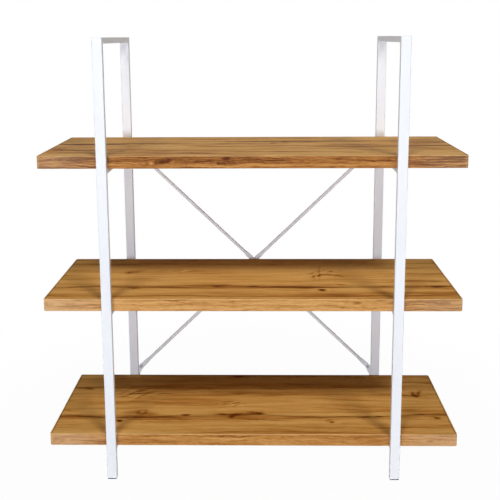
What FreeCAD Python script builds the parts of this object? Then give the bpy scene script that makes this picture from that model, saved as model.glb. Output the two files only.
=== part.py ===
import FreeCAD, Part
import math
import os
import Sketcher

# Shelving unit: two welded side frames of white rectangular tube, three thick wood-look boards that
# rest on the frames' rails between the front and rear posts, and two round rods that cross at the back.
# X runs along the boards, +Y to the back, +Z up. The origin is on the floor, at the middle of the unit.

# Driving dimensions in millimetres
SIZES = {
    # boards
    "shelf_length": 1060,
    "shelf_depth": 370,
    "shelf_thickness": 32,
    "shelf_corner": 6,
    "shelf_overhang": 150,
    "edging_thickness": 2,
    "edging_easing": 1,
    "lower_shelf_top": 119,
    "shelf_spacing": 366,
    # side frames
    "unit_height": 1138,
    "tube_face": 25,
    "tube_depth": 15,
    "tube_wall": 1.2,
    "tube_corner": 2,
    "rail_face": 20,
    "rail_height": 15,
    "shelf_gap": 0.5,
    # feet
    "foot_flange": 3,
    "foot_inset": 0.75,
    "plug_height": 14,
    "plug_wall": 1.6,
    "plug_slack": 0.7,
    "fin_slack": 0.1,
    "fin_height": 1,
    "fin_pitch": 4,
    # screws that hold the boards down, and the threaded inserts that take them
    "screw_inset": 60,
    "shelf_screw_diameter": 6,
    "shelf_screw_reach": 13,
    "shelf_head_diameter": 11,
    "shelf_head_height": 3.3,
    "shelf_socket_flats": 4,
    "insert_diameter": 10,
    "insert_length": 14,
    "insert_hole_spare": 2,
    # crossed rods at the back
    "rod_diameter": 9,
    "flat_thickness": 4,
    "flat_width": 13,
    "middle_flat_length": 48,
    "end_flat_length": 22,
    "flat_taper": 14,
    "brace_low_rise": 25,
    "brace_high_drop": 6,
    # lugs on the rear posts, and the screws and nuts of the brace
    "lug_thickness": 2,
    "lug_round": 7,
    "lug_hole_inset": 9,
    "lug_base_below": 34,
    "lug_base_above": 1,
    "brace_screw_diameter": 5,
    "brace_head_diameter": 9.5,
    "brace_head_height": 2.4,
    "brace_socket_flats": 3,
    "brace_screw_spare": 0.5,
    "nut_flats": 8,
    "nut_height": 2.7,
    # fits and cuts
    "screw_slack": 0.3,
    "insert_slack": 0.1,
    "thread_slack": 0.05,
    "tip_bevel": 0.8,
    "cut_overrun": 1,
}

# Shares of the piece that carries the feature
HEAD_BEVEL_SHARE = 0.45
SOCKET_DEPTH_SHARE = 0.6

# Sizes and places that follow from the driving dimensions
DERIVED = {
    "tube_bore_corner": "Sizes.tube_corner - Sizes.tube_wall",
    "frame_width": "Sizes.shelf_length - 2 * Sizes.shelf_overhang",
    "post_x": "(frame_width - Sizes.tube_face) / 2",
    "post_y": "(Sizes.shelf_depth + Sizes.tube_depth) / 2 + Sizes.shelf_gap",
    "post_height": "Sizes.unit_height - Sizes.foot_flange",
    "rail_length": "Sizes.shelf_depth + 2 * Sizes.shelf_gap",
    "frame_depth": "rail_length + 2 * Sizes.tube_depth",
    "shelf_core_corner": "Sizes.shelf_corner - Sizes.edging_thickness",
    "lower_shelf_base": "Sizes.lower_shelf_top - Sizes.shelf_thickness",
    "middle_shelf_base": "lower_shelf_base + Sizes.shelf_spacing",
    "upper_shelf_base": "lower_shelf_base + 2 * Sizes.shelf_spacing",
    "screw_y": "Sizes.shelf_depth / 2 - Sizes.screw_inset",
    "inner_face_x": "frame_width / 2 - Sizes.tube_face",
    "brace_hole_x": "inner_face_x - Sizes.lug_hole_inset",
    "brace_low": "Sizes.lower_shelf_top + Sizes.brace_low_rise",
    "brace_high": "upper_shelf_base - Sizes.brace_high_drop",
    "brace_middle": "(brace_low + brace_high) / 2",
    "brace_half_rise": "(brace_high - brace_low) / 2",
    "brace_half": "sqrt(brace_hole_x ^ 2 + brace_half_rise ^ 2)",
    "brace_slope": "atan(brace_half_rise / brace_hole_x)",
    "brace_hole": "Sizes.brace_screw_diameter + 2 * Sizes.screw_slack",
    "end_stack": "Sizes.flat_thickness + Sizes.lug_thickness",
    "middle_stack": "2 * Sizes.flat_thickness",
}

SIDES = {"left": -1, "right": 1}
# the rising rod climbs from left to right in front of its lugs, and the falling rod drops behind its own
RODS = {"rising": -1, "falling": 1}
LEVELS = ("lower", "middle", "upper")
FIN_COUNT = 3

doc = FreeCAD.newDocument("shelving_unit")


# Sheets and formulas

def fill_sheet(name, cells, lead):
    """A sheet with one named cell a row; lead is what stands before each cell's content."""
    sheet = doc.addObject("Spreadsheet::Sheet", name)
    for row, (alias, content) in enumerate(cells.items(), start=1):
        sheet.set("A%d" % row, alias)
        sheet.set("B%d" % row, lead + str(content))
        sheet.setAlias("B%d" % row, alias)
    doc.recompute()


def value(formula):
    """What a formula of the sheets comes to now."""
    result = doc.Sizes.evalExpression(formula)
    return float(getattr(result, "Value", result))


# Bodies and placement

def new_body(label):
    body = doc.addObject("PartDesign::Body", label)
    body.Label = label
    return body


def place(body, x="0", y="0", z="0", axis=None, angle="0"):
    """Stand a body at a point, turned about one axis."""
    if axis:
        body.Placement.Rotation = FreeCAD.Rotation(axis, value(angle))
        body.setExpression(".Placement.Rotation.Angle", angle)
    for letter, formula in zip("xyz", (x, y, z)):
        body.setExpression(".Placement.Base." + letter, formula)


def origin_part(body, role):
    return next(part for part in body.Origin.OriginFeatures if part.Role == role)


# Sketches

def new_sketch(body, name, plane, offset="0"):
    """A sketch on one of the body's own planes, moved along the plane's normal."""
    sketch = body.newObject("Sketcher::SketchObject", name)
    sketch.AttachmentSupport = [(origin_part(body, plane), "")]
    sketch.MapMode = "FlatFace"
    sketch.setExpression("AttachmentOffset.Base.z", offset)
    return sketch


def dimension(sketch, formula, kind, *where):
    index = sketch.addConstraint(Sketcher.Constraint(kind, *where, value(formula)))
    sketch.setExpression("Constraints[%d]" % index, formula)


def pin_point(sketch, geometry, vertex, u, v):
    """Hold a vertex at a place given by two formulas."""
    for formula, kind, axis in ((u, "DistanceX", -2), (v, "DistanceY", -1)):
        if formula == "0":
            sketch.addConstraint(Sketcher.Constraint("PointOnObject", geometry, vertex, axis))
        else:
            dimension(sketch, formula, kind, geometry, vertex)


def add_line(sketch, start, end):
    return sketch.addGeometry(Part.LineSegment(FreeCAD.Vector(*start, 0), FreeCAD.Vector(*end, 0)), False)


def add_arc(sketch, centre, radius, start, end):
    circle = Part.Circle(FreeCAD.Vector(*centre, 0), FreeCAD.Vector(0, 0, 1), radius)
    return sketch.addGeometry(Part.ArcOfCircle(circle, start, end), False)


def circle(sketch, u, v, diameter):
    shape = Part.Circle(FreeCAD.Vector(value(u), value(v), 0), FreeCAD.Vector(0, 0, 1), value(diameter) / 2)
    index = sketch.addGeometry(shape, False)
    pin_point(sketch, index, 3, u, v)
    dimension(sketch, diameter, "Diameter", index)


def polygon(sketch, corners):
    """A closed outline of straight lines; each corner is a pair of formulas."""
    points = [(value(u), value(v)) for u, v in corners]
    lines = [add_line(sketch, a, b) for a, b in zip(points, points[1:] + points[:1])]
    for line, following in zip(lines, lines[1:] + lines[:1]):
        sketch.addConstraint(Sketcher.Constraint("Coincident", line, 2, following, 1))
    for line, (u, v) in zip(lines, corners):
        pin_point(sketch, line, 1, u, v)


def rounded_rectangle(sketch, width, height, corner, inset="0"):
    """A rectangle about the sketch's origin with four round corners, drawn in by the inset on every side."""
    width, height = ("%s - 2 * (%s)" % (size, inset) for size in (width, height))
    across, up, radius = value(width) / 2, value(height) / 2, value(corner)
    flat_u, flat_v = across - radius, up - radius
    lines = [
        add_line(sketch, (-flat_u, -up), (flat_u, -up)),
        add_line(sketch, (across, -flat_v), (across, flat_v)),
        add_line(sketch, (flat_u, up), (-flat_u, up)),
        add_line(sketch, (-across, flat_v), (-across, -flat_v)),
    ]
    centres = [(flat_u, -flat_v), (flat_u, flat_v), (-flat_u, flat_v), (-flat_u, -flat_v)]
    quarter = math.pi / 2
    arcs = [add_arc(sketch, c, radius, (i - 1) * quarter, i * quarter) for i, c in enumerate(centres)]
    for line, arc, following in zip(lines, arcs, lines[1:] + lines[:1]):
        sketch.addConstraint(Sketcher.Constraint("Tangent", line, 2, arc, 1))
        sketch.addConstraint(Sketcher.Constraint("Tangent", arc, 2, following, 1))
    for line, kind in zip(lines, ("Horizontal", "Vertical", "Horizontal", "Vertical")):
        sketch.addConstraint(Sketcher.Constraint(kind, line))
    for arc in arcs[1:]:
        sketch.addConstraint(Sketcher.Constraint("Equal", arcs[0], arc))
    sketch.addConstraint(Sketcher.Constraint("Symmetric", arcs[3], 3, arcs[1], 3, -1, 1))
    dimension(sketch, corner, "Radius", arcs[0])
    dimension(sketch, width, "DistanceX", lines[3], 1, lines[1], 1)
    dimension(sketch, height, "DistanceY", lines[0], 1, lines[2], 1)


def hexagon(sketch, flats):
    """A hexagon about the sketch's origin, by the width across its flats."""
    reach = "(%s) / sqrt(3)" % flats
    radius = value(reach)
    turns = [k * math.pi / 3 for k in range(6)]
    points = [(radius * math.cos(turn), radius * math.sin(turn)) for turn in turns]
    lines = [add_line(sketch, a, b) for a, b in zip(points, points[1:] + points[:1])]
    guide = sketch.addGeometry(Part.Circle(FreeCAD.Vector(0, 0, 0), FreeCAD.Vector(0, 0, 1), radius), True)
    sketch.addConstraint(Sketcher.Constraint("Coincident", guide, 3, -1, 1))
    for line, following in zip(lines, lines[1:] + lines[:1]):
        sketch.addConstraint(Sketcher.Constraint("Coincident", line, 2, following, 1))
        sketch.addConstraint(Sketcher.Constraint("PointOnObject", line, 1, guide))
    for line in lines[1:]:
        sketch.addConstraint(Sketcher.Constraint("Equal", lines[0], line))
    sketch.addConstraint(Sketcher.Constraint("PointOnObject", lines[0], 1, -1))
    dimension(sketch, reach, "Radius", guide)


# Features

def pad(body, sketch, length, name="pad", symmetric=False, reversed_way=False):
    feature = body.newObject("PartDesign::Pad", name)
    feature.Profile = sketch
    feature.SideType = "Symmetric" if symmetric else "One side"
    feature.Reversed = reversed_way
    feature.setExpression("Length", length)
    doc.recompute()
    return feature


def pocket(body, sketch, name="cut", depth=None, reversed_way=False):
    """Cut a sketch to a depth, or right through the body both ways; the cut has to remove material."""
    before = body.Shape.Volume
    feature = body.newObject("PartDesign::Pocket", name)
    feature.Profile = sketch
    if depth:
        feature.Type = "Length"
        feature.Reversed = reversed_way
        feature.setExpression("Length", depth)
    else:
        feature.Type = "ThroughAll"
        feature.SideType = "Symmetric"
    doc.recompute()
    if not body.Shape.Volume < before:
        raise RuntimeError("%s of %s cuts nothing" % (name, body.Label))
    return feature


def repeat(body, features, distance, second_distance=None):
    """Set a second copy along the body's X axis, or a grid of four along X and Y."""
    pattern = body.newObject("PartDesign::LinearPattern", "pattern")
    pattern.Originals = features
    pattern.Direction = (origin_part(body, "X_Axis"), [""])
    pattern.Occurrences = 2
    pattern.setExpression("Length", distance)
    if second_distance:
        pattern.Direction2 = (origin_part(body, "Y_Axis"), [""])
        pattern.Occurrences2 = 2
        pattern.setExpression("Length2", second_distance)
    body.Tip = pattern
    doc.recompute()


def outer_rims(shape):
    """Names of the edges round the outside of a flat piece's top and bottom faces."""
    level_faces = [face for face in shape.Faces if round(face.normalAt(0, 0).z)]
    rims = [edge for face in level_faces for edge in face.OuterWire.Edges]
    numbered = enumerate(shape.Edges, start=1)
    return ["Edge%d" % number for number, edge in numbered if any(edge.isSame(rim) for rim in rims)]


# Side frames

def tube_section(sketch, face, depth):
    """The outside and the bore of a rectangular tube."""
    rounded_rectangle(sketch, face, depth, "Sizes.tube_corner")
    rounded_rectangle(sketch, face, depth, "Derived.tube_bore_corner", "Sizes.tube_wall")


def post(side, end):
    """An upright tube whose top is mitred to meet the top bar; end is -1 at the front and 1 at the back."""
    body = new_body("%s_%s_post" % (side, "front" if end < 0 else "rear"))
    section = new_sketch(body, "post_section", "XY_Plane")
    tube_section(section, "Sizes.tube_face", "Sizes.tube_depth")
    pad(body, section, "Derived.post_height")
    outside = "-Sizes.tube_depth / 2 - Sizes.cut_overrun"
    inside = "Sizes.tube_depth / 2 + Sizes.cut_overrun"
    above = "Derived.post_height + Sizes.cut_overrun"
    mitre = new_sketch(body, "mitre", "YZ_Plane")
    polygon(mitre, [
        (outside, above),
        (inside, "Derived.post_height - Sizes.tube_depth - Sizes.cut_overrun"),
        (inside, above),
    ])
    pocket(body, mitre, "mitre_cut")
    place(body, "%d * Derived.post_x" % SIDES[side], "%d * Derived.post_y" % end, "Sizes.foot_flange",
          axis=FreeCAD.Vector(0, 0, 1), angle="0" if end < 0 else "180")
    return body


def top_bar(side):
    """The bar over the two posts, mitred at both ends."""
    body = new_body("%s_top_bar" % side)
    section = new_sketch(body, "bar_section", "XZ_Plane")
    tube_section(section, "Sizes.tube_face", "Sizes.tube_depth")
    pad(body, section, "Derived.frame_depth", symmetric=True)
    above = "Sizes.tube_depth / 2 + Sizes.cut_overrun"
    below = "-Sizes.tube_depth / 2 - Sizes.cut_overrun"
    mitres = new_sketch(body, "mitres", "YZ_Plane")
    for end in (-1, 1):
        outside = "%d * (Derived.frame_depth / 2 + Sizes.cut_overrun)" % end
        inside = "%d * (Derived.frame_depth / 2 - Sizes.tube_depth - Sizes.cut_overrun)" % end
        polygon(mitres, [(outside, above), (inside, below), (outside, below)])
    pocket(body, mitres, "mitre_cuts")
    place(body, "%d * Derived.post_x" % SIDES[side], z="Sizes.unit_height - Sizes.tube_depth / 2")
    return body


def rail(side, level):
    """A tube welded between the posts under a board, drilled for the board's screws."""
    body = new_body("%s_%s_rail" % (side, level))
    section = new_sketch(body, "rail_section", "XZ_Plane")
    tube_section(section, "Sizes.rail_face", "Sizes.rail_height")
    pad(body, section, "Derived.rail_length", symmetric=True)
    holes = new_sketch(body, "screw_holes", "XY_Plane")
    for end in (-1, 1):
        circle(holes, "0", "%d * Derived.screw_y" % end,
               "Sizes.shelf_screw_diameter + 2 * Sizes.screw_slack")
    pocket(body, holes, "screw_hole_cuts")
    place(body, "%d * Derived.post_x" % SIDES[side],
          z="Derived.%s_shelf_base - Sizes.rail_height / 2" % level)
    return body


def lug(side, level):
    """A flat lug on the inner side of a rear post; its base runs on along the post away from the brace."""
    body = new_body("%s_%s_brace_lug" % (side, level))
    below, above, inset, radius = (value("Sizes." + name) for name in (
        "lug_base_below", "lug_base_above", "lug_hole_inset", "lug_round"))
    outline = new_sketch(body, "lug_outline", "XZ_Plane")
    lower_turn, upper_turn = -math.pi / 4, 3 * math.pi / 4
    lower_touch = (inset + radius * math.cos(lower_turn), radius * math.sin(lower_turn))
    upper_touch = (inset + radius * math.cos(upper_turn), radius * math.sin(upper_turn))
    base = add_line(outline, (0, above), (0, -below))
    lower_edge = add_line(outline, (0, -below), lower_touch)
    nose = add_arc(outline, (inset, 0), radius, lower_turn, upper_turn)
    upper_edge = add_line(outline, upper_touch, (0, above))
    outline.addConstraint([
        Sketcher.Constraint("Coincident", base, 2, lower_edge, 1),
        Sketcher.Constraint("Coincident", upper_edge, 2, base, 1),
        Sketcher.Constraint("Tangent", lower_edge, 2, nose, 1),
        Sketcher.Constraint("Tangent", nose, 2, upper_edge, 1),
    ])
    pin_point(outline, base, 1, "0", "Sizes.lug_base_above")
    pin_point(outline, base, 2, "0", "-Sizes.lug_base_below")
    pin_point(outline, nose, 3, "Sizes.lug_hole_inset", "0")
    dimension(outline, "Sizes.lug_round", "Radius", nose)
    circle(outline, "Sizes.lug_hole_inset", "0", "Derived.brace_hole")
    pad(body, outline, "Sizes.lug_thickness", symmetric=True)
    turns = {("right", "lower"): FreeCAD.Vector(0, 0, 1), ("left", "upper"): FreeCAD.Vector(1, 0, 0),
             ("right", "upper"): FreeCAD.Vector(0, 1, 0)}
    place(body, "%d * Derived.inner_face_x" % SIDES[side], "Derived.post_y",
          "Derived.brace_low" if level == "lower" else "Derived.brace_high",
          axis=turns.get((side, level)), angle="180")
    return body


def foot(side, end):
    """A push-in plastic foot: a flange under the tube, and a hollow plug with fins that grip the bore."""
    body = new_body("%s_%s_foot" % (side, "front" if end < 0 else "rear"))
    flange = new_sketch(body, "flange_outline", "XY_Plane")
    rounded_rectangle(flange, "Sizes.tube_face", "Sizes.tube_depth", "Sizes.tube_corner", "Sizes.foot_inset")
    pad(body, flange, "Sizes.foot_flange", "flange")

    def inside_tube(sketch, slack):
        rounded_rectangle(sketch, "Sizes.tube_face", "Sizes.tube_depth", "Derived.tube_bore_corner",
                          "Sizes.tube_wall + " + slack)

    plug = new_sketch(body, "plug_section", "XY_Plane", "Sizes.foot_flange")
    inside_tube(plug, "Sizes.plug_slack")
    inside_tube(plug, "Sizes.plug_slack + Sizes.plug_wall")
    pad(body, plug, "Sizes.plug_height", "plug")
    for number in range(1, FIN_COUNT + 1):
        top = "Sizes.foot_flange + %d * Sizes.fin_pitch" % number
        fin = new_sketch(body, "fin_outline", "XY_Plane", top)
        inside_tube(fin, "Sizes.fin_slack")
        inside_tube(fin, "Sizes.plug_slack + Sizes.plug_wall")
        pad(body, fin, "Sizes.fin_height", "fin", reversed_way=True)
    place(body, "%d * Derived.post_x" % SIDES[side], "%d * Derived.post_y" % end)
    return body


# Boards

def board_core(sketch):
    rounded_rectangle(sketch, "Sizes.shelf_length", "Sizes.shelf_depth", "Derived.shelf_core_corner",
                      "Sizes.edging_thickness")


def shelf(level):
    """The core of a board, with blind holes underneath for the threaded inserts."""
    body = new_body("%s_shelf" % level)
    outline = new_sketch(body, "board_outline", "XY_Plane")
    board_core(outline)
    pad(body, outline, "Sizes.shelf_thickness")
    holes = new_sketch(body, "insert_holes", "XY_Plane")
    for side in (-1, 1):
        for end in (-1, 1):
            circle(holes, "%d * Derived.post_x" % side, "%d * Derived.screw_y" % end,
                   "Sizes.insert_diameter + 2 * Sizes.insert_slack")
    depth = "Sizes.insert_length + Sizes.insert_hole_spare"
    pocket(body, holes, "insert_hole_cuts", depth, reversed_way=True)
    place(body, z="Derived.%s_shelf_base" % level)
    return body


def edging(level):
    """The strip glued round a board, with its outer edges eased."""
    body = new_body("%s_shelf_edging" % level)
    outline = new_sketch(body, "edging_outline", "XY_Plane")
    rounded_rectangle(outline, "Sizes.shelf_length", "Sizes.shelf_depth", "Sizes.shelf_corner")
    board_core(outline)
    strip = pad(body, outline, "Sizes.shelf_thickness")
    easing = body.newObject("PartDesign::Fillet", "easing")
    easing.Base = (strip, outer_rims(strip.Shape))
    easing.setExpression("Radius", "Sizes.edging_easing")
    place(body, z="Derived.%s_shelf_base" % level)
    return body


def inserts(level):
    """The four threaded inserts in the underside of a board."""
    body = new_body("%s_shelf_inserts" % level)
    section = new_sketch(body, "insert_section", "XY_Plane")
    circle(section, "0", "0", "Sizes.insert_diameter")
    circle(section, "0", "0", "Sizes.shelf_screw_diameter + 2 * Sizes.thread_slack")
    sleeve = pad(body, section, "Sizes.insert_length")
    repeat(body, [sleeve], "2 * Derived.post_x", "2 * Derived.screw_y")
    place(body, "-Derived.post_x", "-Derived.screw_y", "Derived.%s_shelf_base" % level)
    return body


# Screws and nuts

def screw(body, axis, family, length, way=1):
    """A bevelled-head socket screw seated at the body's origin; it points up its axis, or down it if way is -1."""
    shank, head = "Sizes.%s_screw_diameter / 2" % family, "Sizes.%s_head_diameter / 2" % family
    head_height = "Sizes.%s_head_height" % family
    along, across = ("XZ_Plane", "XY_Plane") if axis == "Z" else ("XY_Plane", "XZ_Plane")
    outline = [
        ("0", "-%s" % head_height),
        ("%s - %s * %s" % (head, HEAD_BEVEL_SHARE, head_height), "-%s" % head_height),
        (head, "-%s * (1 - %s)" % (head_height, HEAD_BEVEL_SHARE)),
        (head, "0"),
        (shank, "0"),
        (shank, "%s - Sizes.tip_bevel" % length),
        ("%s - Sizes.tip_bevel" % shank, length),
        ("0", length),
    ]
    profile = new_sketch(body, "screw_profile", along)
    polygon(profile, [(u, v if v == "0" else "%d * (%s)" % (way, v)) for u, v in outline])
    turned = body.newObject("PartDesign::Revolution", "turned")
    turned.Profile = profile
    turned.ReferenceAxis = (profile, ["V_Axis"])
    turned.Angle = 360
    doc.recompute()
    # the normal of the XZ plane points down the Y axis
    facing = way if axis == "Z" else -way
    socket = new_sketch(body, "socket", across, "%d * %s" % (-facing, head_height))
    hexagon(socket, "Sizes.%s_socket_flats" % family)
    recess = pocket(body, socket, "socket_cut", "%s * %s" % (SOCKET_DEPTH_SHARE, head_height),
                    reversed_way=facing > 0)
    return [turned, recess]


def shelf_screws(level):
    """The four screws that come up through the rails into a board."""
    body = new_body("%s_shelf_screws" % level)
    features = screw(body, "Z", "shelf", "(Sizes.rail_height + Sizes.shelf_screw_reach)")
    repeat(body, features, "2 * Derived.post_x", "2 * Derived.screw_y")
    place(body, "-Derived.post_x", "-Derived.screw_y",
          "Derived.%s_shelf_base - Sizes.rail_height" % level)
    return body


def nut(body, way=1):
    """A hexagon nut that is seated at the body's origin and reaches back from it, or forward if way is -1."""
    section = new_sketch(body, "nut_section", "XZ_Plane")
    hexagon(section, "Sizes.nut_flats")
    circle(section, "0", "0", "Sizes.brace_screw_diameter + 2 * Sizes.thread_slack")
    return [pad(body, section, "Sizes.nut_height", reversed_way=way > 0)]


# Brace

def rod_section(body, place_along, shape, centre):
    """One station of a rod: round, or pressed to a flat with round sides."""
    sketch = new_sketch(body, "station", "YZ_Plane", place_along)
    if shape == "round":
        radius, corner = value("Sizes.rod_diameter / 2"), "Sizes.rod_diameter / 2 / sqrt(2)"
        turns = [(2 * k - 1) * math.pi / 4 for k in range(5)]
        arcs = [add_arc(sketch, (0, 0), radius, a, b) for a, b in zip(turns, turns[1:])]
        for arc in arcs[:3]:
            sketch.addConstraint(Sketcher.Constraint("Coincident", arc, 3, -1, 1))
        for arc, following in zip(arcs, arcs[1:] + arcs[:1]):
            sketch.addConstraint(Sketcher.Constraint("Coincident", arc, 2, following, 1))
        sketch.addConstraint(Sketcher.Constraint("Equal", arcs[0], arcs[3]))
        for arc, sign in zip(arcs, ("", "", "-", "-")):
            dimension(sketch, sign + corner, "DistanceX", arc, 1)
        dimension(sketch, "-" + corner, "DistanceY", arcs[0], 1)
        return sketch
    half, middle = value("Sizes.flat_thickness / 2"), value(centre)
    straight = value("(Sizes.flat_width - Sizes.flat_thickness) / 2")
    right = add_line(sketch, (middle + half, -straight), (middle + half, straight))
    top = add_arc(sketch, (middle, straight), half, 0, math.pi)
    left = add_line(sketch, (middle - half, straight), (middle - half, -straight))
    bottom = add_arc(sketch, (middle, -straight), half, math.pi, 2 * math.pi)
    edges = [right, top, left, bottom]
    for edge, following in zip(edges, edges[1:] + edges[:1]):
        sketch.addConstraint(Sketcher.Constraint("Tangent", edge, 2, following, 1))
    sketch.addConstraint(Sketcher.Constraint("Vertical", right))
    sketch.addConstraint(Sketcher.Constraint("Vertical", left))
    pin_point(sketch, top, 3, centre, "(Sizes.flat_width - Sizes.flat_thickness) / 2")
    dimension(sketch, "-(Sizes.flat_width - Sizes.flat_thickness) / 2", "DistanceY", bottom, 3)
    dimension(sketch, "Sizes.flat_thickness / 2", "Radius", top)
    return sketch


def round_the_ends(body):
    """Cut the two pressed ends of a rod to half circles about their holes."""
    cut = new_sketch(body, "end_rounding", "XZ_Plane")
    hole, half = value("Derived.brace_half"), value("Sizes.flat_width / 2")
    spare = half + value("Sizes.cut_overrun")
    for end in (-1, 1):
        corners = [(end * hole, half), (end * hole, spare), (end * (hole + spare), spare),
                   (end * (hole + spare), -spare), (end * hole, -spare), (end * hole, -half)]
        lines = [add_line(cut, a, b) for a, b in zip(corners, corners[1:])]
        turn = -math.pi / 2 if end > 0 else math.pi / 2
        arc = add_arc(cut, (end * hole, 0), half, turn, turn + math.pi)
        first, last = (1, 2) if end > 0 else (2, 1)
        for line, following in zip(lines, lines[1:]):
            cut.addConstraint(Sketcher.Constraint("Coincident", line, 2, following, 1))
        cut.addConstraint(Sketcher.Constraint("Coincident", lines[-1], 2, arc, first))
        cut.addConstraint(Sketcher.Constraint("Coincident", arc, last, lines[0], 1))
        for line, kind in zip(lines, ("Vertical", "Horizontal", "Vertical", "Horizontal", "Vertical")):
            cut.addConstraint(Sketcher.Constraint(kind, line))
        pin_point(cut, arc, 3, "%d * Derived.brace_half" % end, "0")
        dimension(cut, "%d * Derived.brace_half" % end, "DistanceX", lines[0], 1)
        dimension(cut, "%d * Derived.brace_half" % end, "DistanceX", lines[-1], 2)
        dimension(cut, "Sizes.flat_width / 2", "Radius", arc)
        beyond = "Sizes.flat_width / 2 + Sizes.cut_overrun"
        pin_point(cut, lines[1], 2, "%d * (Derived.brace_half + %s)" % (end, beyond), beyond)
        dimension(cut, "-(%s)" % beyond, "DistanceY", lines[2], 2)
    pocket(body, cut, "end_rounding_cut")


def brace_rod(name):
    """A round rod pressed flat where it is bolted: at both ends and where it crosses the other rod."""
    side = RODS[name]
    body = new_body("%s_brace_rod" % name)
    end_centre = "%d * Sizes.lug_thickness / 2" % side
    stations = [
        ("Derived.brace_half + Sizes.flat_width / 2", "flat", end_centre),
        ("Derived.brace_half - Sizes.end_flat_length", "flat", end_centre),
        ("Derived.brace_half - Sizes.end_flat_length - Sizes.flat_taper", "round", "0"),
        ("Sizes.middle_flat_length / 2 + Sizes.flat_taper", "round", "0"),
        ("Sizes.middle_flat_length / 2", "flat", "0"),
    ]
    far_half = [rod_section(body, "-(%s)" % along, shape, centre) for along, shape, centre in stations]
    near_half = [rod_section(body, along, shape, centre) for along, shape, centre in reversed(stations)]
    loft = body.newObject("PartDesign::AdditiveLoft", "pressed_rod")
    loft.Profile = far_half[0]
    loft.Sections = far_half[1:] + near_half
    loft.Ruled = True
    doc.recompute()
    round_the_ends(body)
    holes = new_sketch(body, "bolt_holes", "XZ_Plane")
    for along in ("-Derived.brace_half", "0", "Derived.brace_half"):
        circle(holes, along, "0", "Derived.brace_hole")
    pocket(body, holes, "bolt_hole_cuts")
    place(body, y="Derived.post_y + %d * Sizes.flat_thickness / 2" % side, z="Derived.brace_middle",
          axis=FreeCAD.Vector(0, 1, 0), angle="%d * Derived.brace_slope" % side)
    return body


def at_brace_ends(body, name, setback):
    """Set a pair of fasteners at the two ends of a rod, setback behind the middle of the posts."""
    place(body, "-Derived.brace_hole_x", "Derived.post_y + " + setback,
          "Derived.brace_low" if name == "rising" else "Derived.brace_high",
          axis=FreeCAD.Vector(0, 1, 0), angle="%d * Derived.brace_slope" % RODS[name])


def brace_end_screws(name):
    """Two screws whose heads sit on the rod, so that nothing stands out behind the posts."""
    side = RODS[name]
    body = new_body("%s_brace_screws" % name)
    length = "(Derived.end_stack + Sizes.nut_height + Sizes.brace_screw_spare)"
    repeat(body, screw(body, "Y", "brace", length, -side), "2 * Derived.brace_half")
    at_brace_ends(body, name, "%d * (Sizes.lug_thickness / 2 + Sizes.flat_thickness)" % side)
    return body


def brace_end_nuts(name):
    side = RODS[name]
    body = new_body("%s_brace_nuts" % name)
    repeat(body, nut(body, -side), "2 * Derived.brace_half")
    at_brace_ends(body, name, "%d * Sizes.lug_thickness / 2" % -side)
    return body


def brace_middle_screw():
    body = new_body("middle_brace_screw")
    screw(body, "Y", "brace", "(Derived.middle_stack + Sizes.nut_height + Sizes.brace_screw_spare)")
    place(body, y="Derived.post_y - Sizes.flat_thickness", z="Derived.brace_middle")
    return body


def brace_middle_nut():
    body = new_body("middle_brace_nut")
    nut(body)
    place(body, y="Derived.post_y + Sizes.flat_thickness", z="Derived.brace_middle")
    return body


# Assembly

def build():
    pieces = []
    for side in SIDES:
        pieces += [post(side, -1), post(side, 1), top_bar(side), foot(side, -1), foot(side, 1)]
        pieces += [rail(side, level) for level in LEVELS]
        pieces += [lug(side, level) for level in ("lower", "upper")]
    for level in LEVELS:
        pieces += [shelf(level), edging(level), inserts(level), shelf_screws(level)]
    for name in RODS:
        pieces += [brace_rod(name), brace_end_screws(name), brace_end_nuts(name)]
    pieces += [brace_middle_screw(), brace_middle_nut()]
    return pieces


def check_and_write(pieces):
    doc.recompute()
    for thing in doc.Objects:
        if "Invalid" in thing.State or "Error" in thing.State:
            raise RuntimeError("%s failed: %s" % (thing.Label, thing.State))
    for piece in pieces:
        if piece.Shape.isNull() or not piece.Shape.isValid() or not piece.Shape.Solids:
            raise RuntimeError("%s has no sound shape" % piece.Label)
    os.makedirs("parts", exist_ok=True)
    for piece in pieces:
        piece.Shape.exportStep("parts/%s.step" % piece.Label)
        print("%-28s %d solid(s) %12.1f mm3" % (piece.Label, len(piece.Shape.Solids), piece.Shape.Volume))


fill_sheet("Sizes", SIZES, "")
fill_sheet("Derived", DERIVED, "=")
check_and_write(build())
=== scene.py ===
import math
from typing import NamedTuple

import bmesh
import bpy
from mathutils import Matrix, Vector


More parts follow.
